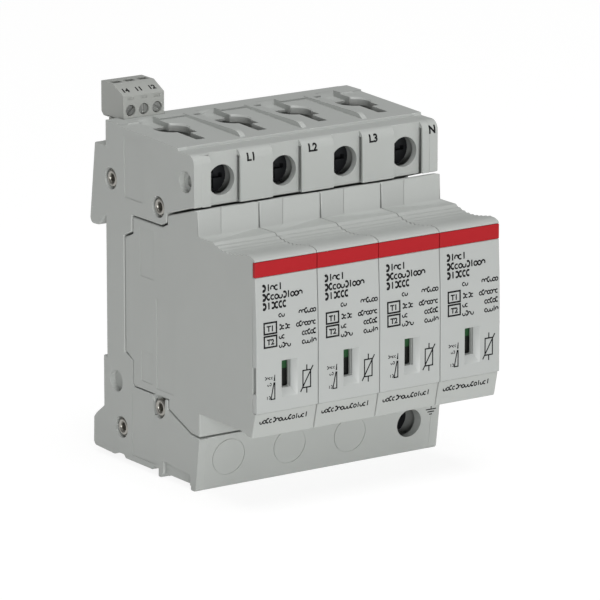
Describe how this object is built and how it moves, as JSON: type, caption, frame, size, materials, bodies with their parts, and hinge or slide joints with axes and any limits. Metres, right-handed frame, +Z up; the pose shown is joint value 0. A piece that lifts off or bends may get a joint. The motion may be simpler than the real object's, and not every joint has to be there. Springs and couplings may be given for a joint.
{
  "type": "din rail surge arrester",
  "caption": "Pluggable surge protective device for a 35 mm rail: grey C-shaped base with cage-clamp terminals, pull-out cartridges with red bands and status windows, and an alarm plug.",
  "frame": {"origin": "on the rail seat, midway along the rail and at mid height of the cartridges' noses", "axes": "+X along the rail, +Y towards the rail, +Z up with the line terminals on top"},
  "size_m": [0.0712, 0.0733, 0.0925],
  "materials": {
    "housing": "fine moulded texture, light grey",
    "front_plate": "satin moulded, lighter grey",
    "red_band": "red inlay",
    "steel": "zinc-plated steel",
    "dark_steel": "burnished steel",
    "nickel": "nickel-plated rivet",
    "copper": "tinned copper alloy",
    "flag": "green flag",
    "varistor": "epoxy-coated ceramic block",
    "black_plastic": "black moulding",
    "plug": "grey moulded connector"
  },
  "bodies": {
    "base": {"base_housing": "housing", "left_end_cover": "housing", "right_end_cover": "housing", "rivets": "nickel", "line_contacts": "copper", "earth_busbar": "copper", "alarm_switch": "black_plastic", "alarm_header": "plug", "alarm_pins": "steel"},
    "cartridge_1": {"cartridge_shell_1": "housing", "front_plate_1": "front_plate", "red_band_1": "red_band", "varistor_1": "varistor", "contact_blades_1": "copper", "trip_spring_1": "steel"},
    "flag_1": {"indicator_flag_1": "flag"},
    "cartridge_2": {"cartridge_shell_2": "housing", "front_plate_2": "front_plate", "red_band_2": "red_band", "varistor_2": "varistor", "contact_blades_2": "copper", "trip_spring_2": "steel"},
    "flag_2": {"indicator_flag_2": "flag"},
    "cartridge_3": {"cartridge_shell_3": "housing", "front_plate_3": "front_plate", "red_band_3": "red_band", "varistor_3": "varistor", "contact_blades_3": "copper", "trip_spring_3": "steel"},
    "flag_3": {"indicator_flag_3": "flag"},
    "cartridge_4": {"cartridge_shell_4": "housing", "front_plate_4": "front_plate", "red_band_4": "red_band", "varistor_4": "varistor", "contact_blades_4": "copper", "trip_spring_4": "steel"},
    "flag_4": {"indicator_flag_4": "flag"},
    "line_screw_1": {"line_screw_1": "dark_steel"},
    "line_clamp_1": {"line_clamp_1": "steel"},
    "line_screw_2": {"line_screw_2": "dark_steel"},
    "line_clamp_2": {"line_clamp_2": "steel"},
    "line_screw_3": {"line_screw_3": "dark_steel"},
    "line_clamp_3": {"line_clamp_3": "steel"},
    "line_screw_4": {"line_screw_4": "dark_steel"},
    "line_clamp_4": {"line_clamp_4": "steel"},
    "earth_screw": {"earth_screw": "dark_steel"},
    "earth_clamp": {"earth_clamp": "steel"},
    "plug": {"alarm_plug": "plug", "plug_contacts": "copper"},
    "plug_screw_1": {"plug_screw_1": "steel"},
    "plug_clamp_1": {"plug_clamp_1": "steel"},
    "plug_screw_2": {"plug_screw_2": "steel"},
    "plug_clamp_2": {"plug_clamp_2": "steel"},
    "plug_screw_3": {"plug_screw_3": "steel"},
    "plug_clamp_3": {"plug_clamp_3": "steel"},
    "rail_clip_1": {"rail_clip_1": "housing"},
    "rail_clip_2": {"rail_clip_2": "housing"}
  },
  "joints": [
    {"name": "cartridge_1_pull", "type": "slide", "parent": "base", "child": "cartridge_1", "axis": [0, -1, 0], "range_m": [0, 0.06]},
    {"name": "flag_1_trip", "type": "slide", "parent": "cartridge_1", "child": "flag_1", "axis": [0, 0, 1], "range_m": [0, 0.004], "deforming": ["trip_spring_1"]},
    {"name": "cartridge_2_pull", "type": "slide", "parent": "base", "child": "cartridge_2", "axis": [0, -1, 0], "range_m": [0, 0.06]},
    {"name": "flag_2_trip", "type": "slide", "parent": "cartridge_2", "child": "flag_2", "axis": [0, 0, 1], "range_m": [0, 0.004], "deforming": ["trip_spring_2"]},
    {"name": "cartridge_3_pull", "type": "slide", "parent": "base", "child": "cartridge_3", "axis": [0, -1, 0], "range_m": [0, 0.06]},
    {"name": "flag_3_trip", "type": "slide", "parent": "cartridge_3", "child": "flag_3", "axis": [0, 0, 1], "range_m": [0, 0.004], "deforming": ["trip_spring_3"]},
    {"name": "cartridge_4_pull", "type": "slide", "parent": "base", "child": "cartridge_4", "axis": [0, -1, 0], "range_m": [0, 0.06]},
    {"name": "flag_4_trip", "type": "slide", "parent": "cartridge_4", "child": "flag_4", "axis": [0, 0, 1], "range_m": [0, 0.004], "deforming": ["trip_spring_4"]},
    {"name": "line_screw_1_turn", "type": "hinge", "parent": "base", "child": "line_screw_1", "pos_m": [-0.0267, -0.028, 0.0352], "axis": [0, 1, 0], "range_deg": [0, 2700]},
    {"name": "line_clamp_1_close", "type": "slide", "parent": "base", "child": "line_clamp_1", "axis": [0, -1, 0], "range_m": [0, 0.006]},
    {"name": "line_screw_2_turn", "type": "hinge", "parent": "base", "child": "line_screw_2", "pos_m": [-0.0089, -0.028, 0.0352], "axis": [0, 1, 0], "range_deg": [0, 2700]},
    {"name": "line_clamp_2_close", "type": "slide", "parent": "base", "child": "line_clamp_2", "axis": [0, -1, 0], "range_m": [0, 0.006]},
    {"name": "line_screw_3_turn", "type": "hinge", "parent": "base", "child": "line_screw_3", "pos_m": [0.0089, -0.028, 0.0352], "axis": [0, 1, 0], "range_deg": [0, 2700]},
    {"name": "line_clamp_3_close", "type": "slide", "parent": "base", "child": "line_clamp_3", "axis": [0, -1, 0], "range_m": [0, 0.006]},
    {"name": "line_screw_4_turn", "type": "hinge", "parent": "base", "child": "line_screw_4", "pos_m": [0.0267, -0.028, 0.0352], "axis": [0, 1, 0], "range_deg": [0, 2700]},
    {"name": "line_clamp_4_close", "type": "slide", "parent": "base", "child": "line_clamp_4", "axis": [0, -1, 0], "range_m": [0, 0.006]},
    {"name": "earth_screw_turn", "type": "hinge", "parent": "base", "child": "earth_screw", "pos_m": [0.0267, -0.028, -0.0327], "axis": [0, 1, 0], "range_deg": [0, 2700]},
    {"name": "earth_clamp_close", "type": "slide", "parent": "base", "child": "earth_clamp", "axis": [0, -1, 0], "range_m": [0, 0.006]},
    {"name": "plug_lift", "type": "slide", "parent": "base", "child": "plug", "axis": [0, 0, 1], "range_m": [0, 0.012]},
    {"name": "plug_screw_1_turn", "type": "hinge", "parent": "plug", "child": "plug_screw_1", "pos_m": [-0.02961, 0.0005, 0.0461], "axis": [0, 1, 0], "range_deg": [0, 720]},
    {"name": "plug_clamp_1_close", "type": "slide", "parent": "plug", "child": "plug_clamp_1", "axis": [0, -1, 0], "range_m": [0, 0.0008]},
    {"name": "plug_screw_2_turn", "type": "hinge", "parent": "plug", "child": "plug_screw_2", "pos_m": [-0.0258, 0.0005, 0.0461], "axis": [0, 1, 0], "range_deg": [0, 720]},
    {"name": "plug_clamp_2_close", "type": "slide", "parent": "plug", "child": "plug_clamp_2", "axis": [0, -1, 0], "range_m": [0, 0.0008]},
    {"name": "plug_screw_3_turn", "type": "hinge", "parent": "plug", "child": "plug_screw_3", "pos_m": [-0.02199, 0.0005, 0.0461], "axis": [0, 1, 0], "range_deg": [0, 720]},
    {"name": "plug_clamp_3_close", "type": "slide", "parent": "plug", "child": "plug_clamp_3", "axis": [0, -1, 0], "range_m": [0, 0.0008]},
    {"name": "rail_clip_1_pull", "type": "slide", "parent": "base", "child": "rail_clip_1", "axis": [0, 0, -1], "range_m": [0, 0.005], "stiffness_N_per_m": 1500, "springref_m": -0.003},
    {"name": "rail_clip_2_pull", "type": "slide", "parent": "base", "child": "rail_clip_2", "axis": [0, 0, -1], "range_m": [0, 0.005], "stiffness_N_per_m": 1500, "springref_m": -0.003}
  ],
  "couplings": [
    {"joint": "line_screw_1_turn", "follows": "line_clamp_1_close", "rad_per_m": 7854},
    {"joint": "line_screw_2_turn", "follows": "line_clamp_2_close", "rad_per_m": 7854},
    {"joint": "line_screw_3_turn", "follows": "line_clamp_3_close", "rad_per_m": 7854},
    {"joint": "line_screw_4_turn", "follows": "line_clamp_4_close", "rad_per_m": 7854},
    {"joint": "earth_screw_turn", "follows": "earth_clamp_close", "rad_per_m": 7854},
    {"joint": "plug_screw_1_turn", "follows": "plug_clamp_1_close", "rad_per_m": 15708},
    {"joint": "plug_screw_2_turn", "follows": "plug_clamp_2_close", "rad_per_m": 15708},
    {"joint": "plug_screw_3_turn", "follows": "plug_clamp_3_close", "rad_per_m": 15708}
  ]
}
